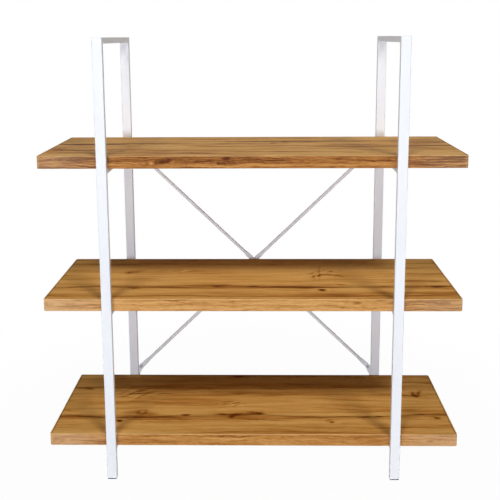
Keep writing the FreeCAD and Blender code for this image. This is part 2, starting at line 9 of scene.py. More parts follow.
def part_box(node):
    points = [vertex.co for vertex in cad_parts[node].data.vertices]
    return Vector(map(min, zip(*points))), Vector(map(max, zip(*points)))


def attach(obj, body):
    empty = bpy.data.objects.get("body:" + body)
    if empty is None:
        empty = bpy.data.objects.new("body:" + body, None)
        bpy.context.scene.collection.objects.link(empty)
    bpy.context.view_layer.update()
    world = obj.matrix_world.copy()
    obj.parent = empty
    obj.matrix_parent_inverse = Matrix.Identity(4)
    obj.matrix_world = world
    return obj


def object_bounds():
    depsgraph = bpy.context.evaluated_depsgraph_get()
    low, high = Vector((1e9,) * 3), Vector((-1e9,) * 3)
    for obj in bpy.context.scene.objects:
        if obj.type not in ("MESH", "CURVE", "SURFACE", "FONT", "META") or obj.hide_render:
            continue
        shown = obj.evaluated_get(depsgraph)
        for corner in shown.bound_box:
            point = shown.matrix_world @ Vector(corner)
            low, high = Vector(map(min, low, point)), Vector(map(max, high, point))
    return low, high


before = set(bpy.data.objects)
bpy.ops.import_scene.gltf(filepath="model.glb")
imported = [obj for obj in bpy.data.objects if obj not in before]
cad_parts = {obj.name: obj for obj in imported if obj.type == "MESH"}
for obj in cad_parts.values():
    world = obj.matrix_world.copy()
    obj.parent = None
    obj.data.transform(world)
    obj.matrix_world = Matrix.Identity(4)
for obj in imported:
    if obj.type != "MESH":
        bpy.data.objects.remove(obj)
cad_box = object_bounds()

LEVELS = ("lower", "middle", "upper")
SIDES = ("left", "right")
MM = 0.001


# Finishes: the tools that every recipe below is written with

NOISE_MIDDLE = 0.5

# Sockets of the Mix node for colours, whose names the node also uses for its other kinds
MIX_SHARE, MIX_FIRST, MIX_SECOND, MIX_RESULT = 0, 6, 7, 2


class Wire:
    """One value inside a finish. Arithmetic on wires adds Math nodes."""

    def __init__(self, recipe, socket):
        self.recipe = recipe
        self.socket = socket

    def maths(self, operation, *values):
        return self.recipe.node("ShaderNodeMath", {"operation": operation}, dict(enumerate(values)))

    def __add__(self, other):
        return self.maths("ADD", self, other)

    def __radd__(self, other):
        return self.maths("ADD", other, self)

    def __sub__(self, other):
        return self.maths("SUBTRACT", self, other)

    def __rsub__(self, other):
        return self.maths("SUBTRACT", other, self)

    def __mul__(self, other):
        return self.maths("MULTIPLY", self, other)

    def __rmul__(self, other):
        return self.maths("MULTIPLY", other, self)

    def __truediv__(self, other):
        return self.maths("DIVIDE", self, other)

    def __rtruediv__(self, other):
        return self.maths("DIVIDE", other, self)

    def __gt__(self, other):
        return self.maths("GREATER_THAN", self, other)

    def __lt__(self, other):
        return self.maths("LESS_THAN", self, other)

    def __neg__(self):
        return self.maths("MULTIPLY", self, -1.0)

    def __abs__(self):
        return self.maths("ABSOLUTE", self)

    def sign(self):
        return self.maths("SIGN", self)

    def root(self):
        return self.maths("SQRT", self)

    def at_least(self, floor):
        return self.maths("MAXIMUM", self, floor)

    def at_most(self, ceiling):
        return self.maths("MINIMUM", self, ceiling)

    def clipped(self):
        return self.at_least(0.0).at_most(1.0)

    def swing(self):
        """How far a noise lies above or below its middle value."""
        return self - NOISE_MIDDLE

    def hump(self, width):
        """1 where the value is 0, falling smoothly to 0 over the width on both sides."""
        share = self / width
        return self.maths("EXPONENT", -(share * share))

    def between(self, low, high):
        """0 at low and 1 at high, with an eased run between them."""
        return self.recipe.node(
            "ShaderNodeMapRange",
            {"interpolation_type": "SMOOTHSTEP"},
            {"Value": self, "From Min": low, "From Max": high},
        )


class Pattern(NamedTuple):
    """A soft noise: how often it repeats in a metre each way, the layer it is cut from and how fine it is."""

    along: float
    across: float
    through: float = 1.0
    layer: float = 0.0
    detail: float = 2.0
    roughness: float = 0.5


class Recipe:
    """A node tree that is written as expressions."""

    def __init__(self, tree):
        self.tree = tree
        tree.nodes.clear()

    def node(self, kind, settings=None, inputs=None, out=0):
        """Adds one node: its settings first, then its sockets.

        Returns the wire of one output, or the wires of several.
        """
        made = self.tree.nodes.new(kind)
        for name, setting in (settings or {}).items():
            if name == "stops":
                self.set_stops(made.color_ramp, setting)
            else:
                setattr(made, name, setting)
        for name, content in (inputs or {}).items():
            if isinstance(content, Wire):
                self.tree.links.new(content.socket, made.inputs[name])
            else:
                made.inputs[name].default_value = content
        if not made.outputs:
            return None
        if isinstance(out, tuple):
            return tuple(Wire(self, made.outputs[name]) for name in out)
        return Wire(self, made.outputs[out])

    @staticmethod
    def set_stops(ramp, stops):
        while len(ramp.elements) < len(stops):
            ramp.elements.new(1.0)
        for element, (position, colour) in zip(ramp.elements, stops):
            element.position = position
            element.color = (*colour, 1.0)

    def place(self, *ways):
        """Where a point lies, in metres: X along the unit's length, Y in its depth and Z in its height."""
        spot = self.node("ShaderNodeTexCoord", out="Object")
        return self.node("ShaderNodeSeparateXYZ", inputs={0: spot}, out=ways)

    def noise(self, pattern, along, across, through):
        """The pattern at that spot, as a value from 0 to 1."""
        spot = self.node("ShaderNodeCombineXYZ", inputs={
            "X": along * pattern.along,
            "Y": across * pattern.across,
            "Z": through * pattern.through + pattern.layer,
        })
        return self.node("ShaderNodeTexNoise", inputs={
            "Vector": spot,
            "Scale": 1.0,
            "Detail": pattern.detail,
            "Roughness": pattern.roughness,
        })

    def ramp(self, value, stops):
        return self.node("ShaderNodeValToRGB", {"stops": stops}, {0: value})

    def blend(self, share, first, second):
        """The first colour goes over into the second by the share."""
        return self.node(
            "ShaderNodeMix",
            {"data_type": "RGBA"},
            {MIX_SHARE: share, MIX_FIRST: first, MIX_SECOND: second},
            out=MIX_RESULT,
        )

    def mixed(self, share, first, second):
        """The first shader goes over into the second by the share."""
        return self.node("ShaderNodeMixShader", inputs={0: share, 1: first, 2: second})


class Finish(Recipe):
    """One material."""

    def __init__(self, name):
        self.material = bpy.data.materials.new(name)
        self.material.use_nodes = True
        super().__init__(self.material.node_tree)

    def relief(self, height, depth, strength=1.0):
        """Bumps of that depth, in metres."""
        return self.node("ShaderNodeBump", inputs={"Height": height, "Distance": depth, "Strength": strength})

    def surface(self, sockets):
        """Ends the recipe with a shader that takes these values or wires, and gives the material."""
        shader = self.node("ShaderNodeBsdfPrincipled", inputs=sockets)
        self.node("ShaderNodeOutputMaterial", inputs={"Surface": shader})
        return self.material


# Camera, as the photograph was taken: its place in metres, angles in radians, lens and sensor in millimetres

CAMERA_PLACE = Vector((0.0277, -2.1172, 1.1386))
CAMERA_YAW = -0.01648
CAMERA_PITCH = 0.16805
CAMERA_ROLL = -0.00487
CAMERA_LENS = 57.49
CAMERA_DROP = -0.1563
SENSOR_WIDTH = 36.0


def set_camera():
    ahead = Vector((
        math.sin(CAMERA_YAW) * math.cos(CAMERA_PITCH),
        math.cos(CAMERA_YAW) * math.cos(CAMERA_PITCH),
        -math.sin(CAMERA_PITCH),
    ))
    level = Vector((math.cos(CAMERA_YAW), -math.sin(CAMERA_YAW), 0.0))
    upright = level.cross(ahead)
    across = level * math.cos(CAMERA_ROLL) + upright * math.sin(CAMERA_ROLL)
    up = across.cross(ahead)
    data = bpy.data.cameras.new("photo_camera")
    data.sensor_width = SENSOR_WIDTH
    data.lens = CAMERA_LENS
    data.shift_y = CAMERA_DROP
    camera = bpy.data.objects.new("photo_camera", data)
    turn = Matrix((across, up, -ahead)).transposed()
    camera.matrix_world = Matrix.Translation(CAMERA_PLACE) @ turn.to_4x4()
    bpy.context.scene.collection.objects.link(camera)
    bpy.context.scene.camera = camera


# Studio: two wide soft lamps high in front, a broad low panel behind the camera, a low panel at the back,
# dim walls and ceiling and a white floor, which shows nothing of itself from underneath

FRONT_LAMPS = {
    "left_softbox": (Vector((-2.3, -5.95, 8.05)), 256.0),
    "right_softbox": (Vector((3.32, -5.78, 7.88)), 336.0),
}
SOFTBOX_SIZE = (2.3, 1.28)
SOFTBOX_TINT = (1.0, 0.972, 0.935)
FRONT_PANEL = Vector((-2.0, -12.0, 0.5))
FRONT_PANEL_SIZE = (11.0, 0.8)
FRONT_PANEL_POWER = 1000.0
FRONT_PANEL_TINT = (0.825, 0.88, 0.985)
REAR_PANEL = Vector((0.0, 3.4, 0.1))
REAR_PANEL_SIZE = (2.4, 0.16)
REAR_PANEL_POWER = 62.0
LAMP_AIM = Vector((0.0, 0.0, 0.55))
WHITE = (1.0, 1.0, 1.0, 1.0)

# The walls dim upwards, and from the front one to the side ones, between these parts of a ray's direction
WALL_TOP = (0.06, 0.28)
WALL_ENDS = (0.2, 0.7)
WALL_TINT = (0.77, 0.85, 1.0, 1.0)
FRONT_WALL_LEVEL = 0.3
SIDE_WALL_LEVEL = 0.15
CEILING_LEVEL = 0.02

# The floor is pure white further out than the end of its fade, and nearer to the unit it keeps some shadow
FLOOR_SIZE = 60.0
FLOOR_GAP = 0.2 * MM
FLOOR_GLOW = 0.975
FLOOR_FADE = (0.5, 1.3)
FLOOR_MATT = (0.52, 0.52, 0.52, 1.0)


def seen_directly(recipe):
    """1 for what the camera sees itself, in gloss or through glass, and 0 for light that falls on things."""
    camera, glossy, through = recipe.node(
        "ShaderNodeLightPath",
        out=("Is Camera Ray", "Is Glossy Ray", "Is Transmission Ray"),
    )
    return camera.at_least(glossy).at_least(through)


def add_lamp(name, place, size, power, tint):
    data = bpy.data.lights.new(name, "AREA")
    data.shape = "RECTANGLE"
    data.size, data.size_y = size
    data.energy = power
    data.color = tint
    lamp = bpy.data.objects.new(name, data)
    lamp.location = place
    lamp.rotation_euler = (LAMP_AIM - place).to_track_quat("-Z", "Y").to_euler()
    lamp.visible_camera = False
    bpy.context.scene.collection.objects.link(lamp)
    return lamp


def set_lamps():
    for name, (place, power) in FRONT_LAMPS.items():
        add_lamp(name, place, SOFTBOX_SIZE, power, SOFTBOX_TINT)
    add_lamp("front_panel", FRONT_PANEL, FRONT_PANEL_SIZE, FRONT_PANEL_POWER, FRONT_PANEL_TINT)
    rear = add_lamp("rear_panel", REAR_PANEL, REAR_PANEL_SIZE, REAR_PANEL_POWER, WHITE[:3])
    rear.visible_glossy = False


def set_surround():
    world = bpy.data.worlds.new("white_surround")
    world.use_nodes = True
    bpy.context.scene.world = world
    recipe = Recipe(world.node_tree)
    ray = recipe.node("ShaderNodeTexCoord", out="Generated")
    y, z = recipe.node("ShaderNodeSeparateXYZ", inputs={0: ray}, out=("Y", "Z"))
    ahead = (-y).between(*WALL_ENDS)
    wall = SIDE_WALL_LEVEL + ahead * (FRONT_WALL_LEVEL - SIDE_WALL_LEVEL)
    light = CEILING_LEVEL + (1.0 - z.between(*WALL_TOP)) * wall
    sky = recipe.node("ShaderNodeBackground", inputs={"Color": WALL_TINT, "Strength": light})
    white = recipe.node("ShaderNodeBackground", inputs={"Color": WHITE, "Strength": 1.0})
    recipe.node("ShaderNodeOutputWorld", inputs={"Surface": recipe.mixed(seen_directly(recipe), sky, white)})


def floor_white():
    finish = Finish("studio_floor_white")
    x, y = finish.place("X", "Y")
    away = (x * x + y * y).root().between(*FLOOR_FADE)
    glow_share = FLOOR_GLOW + away * (1.0 - FLOOR_GLOW)
    matt = finish.node("ShaderNodeBsdfDiffuse", inputs={"Color": FLOOR_MATT})
    glow = finish.node("ShaderNodeEmission", inputs={"Color": WHITE, "Strength": 1.0})
    lit = finish.mixed(seen_directly(finish) * glow_share, matt, glow)
    underneath = finish.node("ShaderNodeNewGeometry", out="Backfacing")
    clear = finish.node("ShaderNodeBsdfTransparent")
    finish.node("ShaderNodeOutputMaterial", inputs={"Surface": finish.mixed(underneath, lit, clear)})
    return finish.material


def set_floor():
    bpy.ops.mesh.primitive_plane_add(size=FLOOR_SIZE, location=(0.0, 0.0, -FLOOR_GAP))
    floor = bpy.context.object
    floor.name = "studio_floor"
    floor.data.materials.append(floor_white())


# White powder coat on the tubes, lugs and rods. The mitre seams show at the tops of the side frames

FRAME_SHEEN = 0.25
ROD_SHEEN = 0.02
COAT_CLOUD = Pattern(9.0, 9.0, 5.0, detail=3.0)
COAT_PEEL = Pattern(620.0, 620.0, 620.0, detail=1.0)
COAT_SPECK = Pattern(210.0, 210.0, 210.0)
COAT_STOPS = (
    (0.0, (0.70, 0.71, 0.735)),
    (0.5, (0.83, 0.835, 0.85)),
    (1.0, (0.865, 0.87, 0.88)),
)
COAT_SHADE = 0.5
CLOUD_SHADE = 0.8
SPECK_SHADE = 0.35
SEAM_SHADE = 0.5
COAT_ROUGHNESS = 0.36
CLOUD_ROUGHNESS = 0.12
SPECK_ROUGHNESS = 0.06
COAT_RELIEF = 0.03 * MM
SPECK_RELIEF = 0.4
SEAM_RELIEF = 0.6
SEAM_WIDTH = 0.7 * MM
MITRE_DROP = 20 * MM


def white_coat(name, sheen):
    finish = Finish(name)
    x, y, z = finish.place("X", "Y", "Z")
    cloud = finish.noise(COAT_CLOUD, x, y, z)
    peel = finish.noise(COAT_PEEL, x, y, z)
    speck = finish.noise(COAT_SPECK, x, y, z)
    top = cad_box[1]
    mitre = abs(y) - z + (top.z - top.y)
    seam = mitre.hump(SEAM_WIDTH) * (z > top.z - MITRE_DROP)
    shade = COAT_SHADE + cloud.swing() * CLOUD_SHADE + speck.swing() * SPECK_SHADE - seam * SEAM_SHADE
    return finish.surface({
        "Base Color": finish.ramp(shade.clipped(), COAT_STOPS),
        "Roughness": COAT_ROUGHNESS + cloud * CLOUD_ROUGHNESS + speck.swing() * SPECK_ROUGHNESS,
        "Specular IOR Level": sheen,
        "Normal": finish.relief(peel + speck * SPECK_RELIEF - seam * SEAM_RELIEF, COAT_RELIEF),
    })


# Zinc plating on the screws, nuts and inserts

ZINC_SPANGLE = Pattern(260.0, 260.0, 260.0, detail=3.0)
ZINC_BRUSHING = Pattern(1400.0, 1400.0, 180.0)
ZINC_STOPS = (
    (0.25, (0.50, 0.51, 0.54)),
    (0.55, (0.62, 0.63, 0.65)),
    (0.8, (0.70, 0.69, 0.66)),
)
SPANGLE_SHADE = 0.7
BRUSHING_SHADE = 0.3
ZINC_ROUGHNESS = 0.22
SPANGLE_ROUGHNESS = 0.2
BRUSHING_ROUGHNESS = 0.1
SPANGLE_RELIEF = 0.5
ZINC_RELIEF = 0.08 * MM
ZINC_RELIEF_SHARE = 0.4


def zinc_steel():
    finish = Finish("zinc_steel")
    x, y, z = finish.place("X", "Y", "Z")
    spangle = finish.noise(ZINC_SPANGLE, x, y, z)
    brushed = finish.noise(ZINC_BRUSHING, x, y, z)
    shade = spangle * SPANGLE_SHADE + brushed * BRUSHING_SHADE
    return finish.surface({
        "Base Color": finish.ramp(shade, ZINC_STOPS),
        "Metallic": 1.0,
        "Roughness": ZINC_ROUGHNESS + spangle * SPANGLE_ROUGHNESS + brushed.swing() * BRUSHING_ROUGHNESS,
        "Normal": finish.relief(brushed + spangle * SPANGLE_RELIEF, ZINC_RELIEF, ZINC_RELIEF_SHARE),
    })


# Dark plastic of the feet

PLASTIC_GRAIN = Pattern(1100.0, 1100.0, 1100.0)
PLASTIC_SCUFF = Pattern(90.0, 90.0, 240.0, detail=4.0)
PLASTIC_STOPS = (
    (0.3, (0.035, 0.035, 0.038)),
    (0.6, (0.05, 0.05, 0.055)),
    (0.8, (0.085, 0.085, 0.09)),
)
SCUFF_SHADE = 0.6
GRAIN_SHADE = 0.4
PLASTIC_ROUGHNESS = 0.45
SCUFF_ROUGHNESS = 0.3
PLASTIC_RELIEF = 0.15 * MM
PLASTIC_RELIEF_SHARE = 0.5


def dark_plastic():
    finish = Finish("dark_plastic")
    x, y, z = finish.place("X", "Y", "Z")
    grain = finish.noise(PLASTIC_GRAIN, x, y, z)
    scuff = finish.noise(PLASTIC_SCUFF, x, y, z)
    return finish.surface({
        "Base Color": finish.ramp(scuff * SCUFF_SHADE + grain * GRAIN_SHADE, PLASTIC_STOPS),
        "Roughness": PLASTIC_ROUGHNESS + scuff.swing() * SCUFF_ROUGHNESS,
        "Normal": finish.relief(grain, PLASTIC_RELIEF, PLASTIC_RELIEF_SHARE),
    })


# Oak look of the boards: what is printed where, in millimetres

GRAIN_SEEDS = {"lower": 3.7, "middle": 11.2, "upper": 23.9}

# Knots of the faces, which the grain parts round: along the board, across it, half length, half width
FACE_KNOTS = {
    "lower": (
        (-307, -64, 26, 14),
        (-364, -114, 20, 6),
        (-45, -74, 40, 9),
        (4, -66, 30, 12),
        (211, -117, 14, 7),
        (496, -93, 14, 7),
        (468, 56, 20, 12),
        (-488, 86, 26, 5),
    ),
    "middle": (
        (181, -112, 20, 10),
        (-342, 48, 28, 12),
        (-315, -95, 20, 6),
        (-90, -75, 34, 6),
        (235, -65, 22, 6),
        (488, -82, 30, 6),
        (190, 8, 60, 9),
    ),
    "upper": (
        (122, -48, 26, 9),
        (-330, -104, 60, 14),
        (-310, -20, 130, 14),
        (-430, 30, 80, 12),
        (318, -128, 60, 12),
        (-480, -70, 50, 12),
    ),
}

# Dark marks on the faces: along, across, half length, half width, slant in degrees, depth; below 0 is pale
FACE_MARKS = {
    "lower": (
        (-85, -75, 18, 6, 0, 0.3),
        (-46, -75, 22, 9, 4, 0.3),
        (-59, -88, 10, 8, 60, 0.2),
        (-2, -64, 28, 12, -8, 0.22),
        (17, -68, 13, 7, 0, 0.26),
        (-30, -80, 60, 20, 0, 0.15),
        (-5, -50, 26, 4, -8, -0.12),
        (40, -107, 62, 3, -5, 0.32),
        (143, -87, 56, 8, -3, 0.16),
        (-362, -114, 8, 6, -6, 0.7),
        (-470, -87, 52, 3.5, -5, 0.32),
        (-330, -92, 90, 3.5, 0, 0.28),
        (-185, -79, 11, 5, 0, 0.42),
        (-232, -86, 44, 3, 8, 0.2),
        (-511, -55, 30, 8, -6, 0.26),
        (-307, -64, 15, 18, 0, 0.36),
        (-307, -63, 7, 9, 0, -0.4),
        (-284, -72, 26, 8, -8, 0.22),
        (-340, -66, 24, 8, 8, 0.16),
        (459, 52, 17, 6, -80, 0.3),
        (464, 39, 8, 6, 0, 0.2),
        (476, 58, 18, 6, 68, 0.3),
        (484, 72, 10, 5, 0, 0.18),
        (304, -88, 18, 4, 0, 0.36),
        (341, -85, 11, 4, 0, 0.4),
        (455, -73, 20, 4, 0, 0.36),
        (505, -73, 26, 4, 0, 0.2),
        (250, -87, 50, 3, 0, 0.2),
        (496, -92, 10, 7, -20, 0.4),
        (211, -117, 8, 7, 0, 0.42),
        (199, -110, 9, 4, 35, 0.24),
        (-479, 83, 12, 5, 0, 0.32),
        (-500, 90, 30, 4, 0, 0.22),
        (-50, 172, 26, 7, 0, 0.4),
    ),
    "middle": (
        (-88, -70, 28, 4, 0, 0.36),
        (-92, -81, 15, 4, 0, 0.32),
        (3, -78, 13, 4, 0, 0.4),
        (75, -82, 32, 3.5, -2, 0.12),
        (110, -72, 90, 26, -4, 0.1),
        (440, -50, 90, 40, 0, 0.08),
        (-130, -66, 110, 16, 0, 0.07),
        (181, -112, 10, 8, -24, 0.7),
        (150, -103, 26, 6, -10, 0.1),
        (234, -65, 17, 5, -14, 0.3),
        (350, -80, 13, 4, 0, 0.38),
        (486, -80, 34, 5, 0, 0.34),
        (486, -86, 13, 5, 0, 0.3),
        (493, -38, 22, 8, 0, 0.2),
        (438, -34, 40, 6, 0, 0.14),
        (-469, -87, 30, 4, 5, 0.36),
        (-385, -78, 32, 4, 0, 0.2),
        (-300, -75, 40, 3, 0, 0.18),
        (-314, -95, 16, 6, 0, 0.34),
        (-349, 40, 12, 8, 60, 0.14),
        (-326, 60, 24, 5, 10, 0.14),
        (-338, 52, 28, 14, 14, 0.1),
        (-254, 65, 18, 4, 14, 0.24),
        (185, 50, 58, 3.5, -94, 0.3),
        (165, 5, 20, 5, 22, 0.22),
        (193, 19, 14, 5, 19, 0.28),
        (197, 64, 13, 5, 46, 0.3),
        (218, 58, 11, 6, -41, 0.26),
        (229, 18, 24, 5, -20, 0.26),
        (167, 2, 20, 3.5, -86, 0.2),
        (244, 65, 7, 6, 0, 0.26),
        (192, 44, 14, 10, 20, -0.16),
        (-100, -178, 330, 10, 0, -0.14),
        (330, -178, 200, 9, 0, -0.1),
        (170, 26, 14, 8, 0, -0.14),
    ),
    "upper": (
        (118, -49, 26, 6, 0, 0.3),
        (-300, 77, 90, 7, 0, 0.16),
        (-60, 79, 110, 7, 0, 0.18),
        (190, 86, 120, 7, 0, 0.14),
        (-180, -142, 150, 8, -2, 0.18),
        (-236, -96, 52, 6, -3, 0.16),
        (-446, -134, 40, 8, 0, 0.2),
        (-480, -86, 40, 8, 0, 0.16),
        (-440, -30, 110, 90, 0, 0.07),
        (-420, -20, 70, 9, -3, 0.14),
        (-470, 10, 50, 8, 0, 0.14),
    ),
}

# Places where short slanting strokes cross the grain: along, across, half length, half width
FEATHERS = {
    "lower": ((-338, 54, 46, 30), (-60, -12, 30, 14)),
    "middle": ((182, 36, 42, 30), (-200, 70, 26, 14)),
    "upper": ((-300, 40, 60, 30), (60, 60, 80, 30)),
}

# Line where two planks meet: its place across, then its bends as place along, half length and height
JOINTS = {
    "lower": (-88, ((-20, 110, 14), (480, 110, 15), (-340, 120, -5))),
    "middle": (-78, ((-520, 70, -13), (-110, 90, 8), (235, 90, -8))),
    "upper": (80, ((-200, 160, -4), (300, 140, 6))),
}

# Knots of the edgings: along, height above the board's underside, half length, half width
EDGING_KNOTS = {
    "lower": ((-505, 14, 24, 6), (470, 15, 30, 5), (-75, 26, 30, 3), (90, 24, 18, 3)),
    "middle": ((-495, 20, 26, 6), (482, 23, 28, 5), (250, 22, 24, 4), (-120, 20, 22, 4)),
    "upper": ((-247, 14, 12, 5), (-212, 17, 24, 6), (-61, 25, 14, 4), (-58, 13, 34, 3), (-455, 23, 30, 4)),
}

# Dark marks on the edgings, written as on the faces
EDGING_MARKS = {
    "lower": (
        (-75, 27, 34, 2, 0, 0.2),
        (-20, 25, 26, 2, 4, 0.18),
        (90, 25, 20, 2, 8, 0.18),
        (-505, 14, 22, 4, 0, 0.12),
        (490, 18, 26, 3, -6, 0.16),
    ),
    "middle": (
        (482, 20, 26, 3, -5, 0.14),
        (-470, 24, 30, 2, 8, 0.14),
        (-440, 14, 26, 2, -4, 0.12),
        (250, 24, 24, 2, 0, 0.14),
        (60, 22, 20, 2, -8, 0.1),
    ),
    "upper": (
        (-258, 14, 5, 5, 40, 0.22),
        (-247, 13.5, 5, 3, 0, -0.22),
        (-236, 13, 5, 5, -40, 0.22),
        (-212, 18, 17, 5, 16, 0.34),
        (-160, 12, 26, 3, 4, 0.18),
        (-61, 25, 8, 4, 8, 0.5),
        (-59, 13, 30, 3, 0, 0.26),
        (-440, 27, 36, 3, 6, 0.24),
        (-442, 19, 14, 2.5, 0, 0.24),
        (57, 19.5, 42, 3, 2, 0.24),
        (214, 23, 12, 2.5, 0, 0.22),
        (462, 20, 16, 2.5, 14, 0.2),
        (512, 24, 12, 3, 40, 0.2),
    ),
}

# Patterns of the faces, along the grain and across it
FACE_RIPPLE = Pattern(11.0, 26.0)
FACE_WIGGLE = Pattern(34.0, 45.0, layer=1.0)
FACE_DRIFT = Pattern(2.1, 7.0, layer=3.0, detail=1.0)
FACE_FRAY = Pattern(90.0, 160.0, layer=5.0)
FACE_BANDS = Pattern(1.2, 30.0, detail=3.0)
FACE_STREAKS = {
    "lower": Pattern(5.0, 85.0, layer=2.0, detail=4.0, roughness=0.6),
    "middle": Pattern(5.0, 85.0, layer=2.0, detail=4.0, roughness=0.6),
    "upper": Pattern(5.0, 55.0, layer=2.0, detail=4.0, roughness=0.6),
}
FACE_CONTOUR = Pattern(1.8, 55.0, layer=4.0, detail=1.0)
FACE_FIBRES = Pattern(28.0, 700.0)
FACE_PORES = Pattern(60.0, 1500.0, layer=6.0)
FACE_PATCHES = Pattern(2.4, 5.0, layer=8.0)
FACE_STROKES = Pattern(30.0, 90.0)
PLANK_LAYERS = 7.0

# How far these patterns push the knots, grain, joint and marks of a face: along and across, or across
KNOT_RIPPLE = (8 * MM, 4 * MM)
GRAIN_DRIFT = 30 * MM
GRAIN_RIPPLE = 9 * MM
GRAIN_WIGGLE = 6 * MM
JOINT_RIPPLE = 5 * MM
MARK_WIGGLE = (10 * MM, 7 * MM)
MARK_FRAY = 6 * MM

# How strongly each part of the grain shows in the tone of a face
FACE_TONE = {"lower": 0.575, "middle": 0.605, "upper": 0.61}
BAND_DEPTH = {"lower": 1.15, "middle": 1.25, "upper": 1.2}
STREAK_DEPTH = {"lower": 0.85, "middle": 1.1, "upper": 1.9}
CONTOUR_DEPTH = {"lower": 0.12, "middle": 0.16, "upper": 0.2}
FEATHER_DEPTH = {"lower": 2.8, "middle": 3.2, "upper": 1.5}
REAR_PLANK_LIFT = {"lower": 0.03, "middle": 0.14, "upper": 0.10}
FIBRE_DEPTH = 0.4
PATCH_DEPTH = 0.4
MARK_DEPTH = 0.75
MARK_STREAKS = 1.2
STROKE_SLANT = 0.57
CONTOUR_WIDTH = 0.022
PORE_EDGE = (0.6, 0.72)

# Colours and gloss of the faces, and the thin lines on them
FACE_STOPS = (
    (0.0, (0.085, 0.026, 0.002)),
    (0.16, (0.20, 0.060, 0.008)),
    (0.38, (0.50, 0.202, 0.038)),
    (0.55, (0.70, 0.352, 0.087)),
    (0.8, (0.85, 0.492, 0.147)),
)
CRACK_BROWN = (0.11, 0.033, 0.006, 1.0)
PORE_BROWN = (0.16, 0.055, 0.011, 1.0)
CRACK_WIDTH = 1.8 * MM
CRACK_SHARE = 0.35
CRACK_SHADE_WIDTH = 9 * MM
CRACK_SHADE_SHARE = 0.2
PORE_SHARE = 0.35
MARGIN_RUN = (-5.5 * MM, 0.5 * MM)
MARGIN_SHARE = 0.75
FACE_SHEEN = {"lower": 0.001, "middle": 0.004, "upper": 0.02}
FACE_ROUGHNESS = 0.5
FIBRE_ROUGHNESS = 0.25
PORE_ROUGHNESS = 0.1
MARK_ROUGHNESS = 0.1
FIBRE_RELIEF = 0.6
FACE_RELIEF = 0.05 * MM

# Patterns of the edgings, along the strip and up it
EDGING_LAYER = 40.0
EDGING_WAVE = Pattern(9.0, 22.0)
EDGING_SWIRL = Pattern(42.0, 60.0, layer=2.0)
EDGING_BANDS = Pattern(2.6, 95.0, layer=4.0, detail=3.0)
EDGING_FLAMES = Pattern(11.0, 300.0, layer=6.0, detail=4.0, roughness=0.6)
EDGING_CONTOUR = Pattern(9.0, 150.0, layer=8.0, detail=1.0)
EDGING_FIBRES = Pattern(70.0, 600.0)
EDGING_PORES = Pattern(110.0, 2200.0, layer=9.0)

# How far these patterns push the knots, the grain and the marks: along and up, or up
EDGING_KNOT_SWIRL = (5 * MM, 2 * MM)
EDGING_GRAIN_WAVE = 14 * MM
EDGING_GRAIN_SWIRL = 4 * MM
EDGING_MARK_SWIRL = (9 * MM, 3 * MM)

# How strongly each part of the grain shows in the tone of an edging; pairs are for its left and right ends
EDGING_TONE = 0.6
EDGING_BAND_DEPTH = 0.9
EDGING_FIBRE_DEPTH = 0.6
EDGING_CONTOUR_DEPTH = 0.2
EDGING_CONTOUR_WIDTH = 0.03
EDGING_MARK_DEPTH = 0.55
EDGING_MARK_FLAMES = 0.9
FLAME_DEPTH = {"lower": 1.0, "middle": 0.85, "upper": 1.25}
END_FLAMES = {"lower": 1.4, "middle": 3.2, "upper": 1.4}
END_RUN = (300 * MM, 500 * MM)
END_SHARES = {"lower": (0.55, 0.5), "middle": (0.5, 0.4), "upper": (0.35, 0.25)}
END_TONES = {"lower": (0.0, 0.0), "middle": (0.0, -0.24), "upper": (-0.12, -0.1)}
END_FLAME_SHARE = 2.4
END_FLAME_START = 0.2
LOW_BAND_DEPTH = {"lower": 0.0, "middle": 0.0, "upper": 0.2}
LOW_BAND_HEIGHT = 8 * MM
LOW_BAND_WIDTH = 8 * MM
LOW_BAND_WAVE = 8 * MM
LOW_BAND_MIDDLE = 0.45

# Colours and gloss of the edgings, with a painted highlight along their top edges and round their end
# corners, and a paler line along their bottom edges
EDGING_STOPS = {
    "lower": (
        (0.2, (0.21, 0.070, 0.012)),
        (0.42, (0.38, 0.157, 0.035)),
        (0.6, (0.49, 0.224, 0.056)),
        (0.85, (0.60, 0.315, 0.105)),
    ),
    "middle": (
        (0.2, (0.25, 0.098, 0.022)),
        (0.42, (0.46, 0.215, 0.058)),
        (0.6, (0.58, 0.290, 0.085)),
        (0.85, (0.69, 0.385, 0.145)),
    ),
    "upper": (
        (0.2, (0.11, 0.030, 0.006)),
        (0.42, (0.24, 0.084, 0.019)),
        (0.6, (0.37, 0.145, 0.035)),
        (0.85, (0.55, 0.260, 0.070)),
    ),
}
PALE_LINE_AND_HIGHLIGHT = (0.88, 0.57, 0.25, 1.0)
END_PALE = (0.62, 0.38, 0.20, 1.0)
# Paler line along the bottom edge of an edging
LOW_RIM_WIDTH = 1.0 * MM
LOW_RIM_SHARE = 0.2
# Painted highlight along the top edge of an edging
TOP_HIGHLIGHT_WIDTH = 1.5 * MM
TOP_HIGHLIGHT_SHARE = 0.6
# Painted highlight round the end corners of an edging
CORNER_HIGHLIGHT_WIDTH = 5 * MM
CORNER_HIGHLIGHT_SHARE = 0.35
EDGING_PORE_SHARE = 0.3
EDGING_SHEEN = 0.05
EDGING_ROUGHNESS = 0.48
EDGING_FIBRE_ROUGHNESS = 0.2
EDGING_RELIEF = 0.04 * MM


def parted_grain(along, across, knots):
    """How far across the grain a point lies, where the grain parts round each knot."""
    for spot_along, spot_across, length, width in knots:
        swell = (along - spot_along * MM).hump(length * MM) * (width * MM) ** 2
        offset = across - spot_across * MM
        lift = (offset * offset - swell).at_least(0.0)
        across = offset.sign() * lift.root() + spot_across * MM
    return across


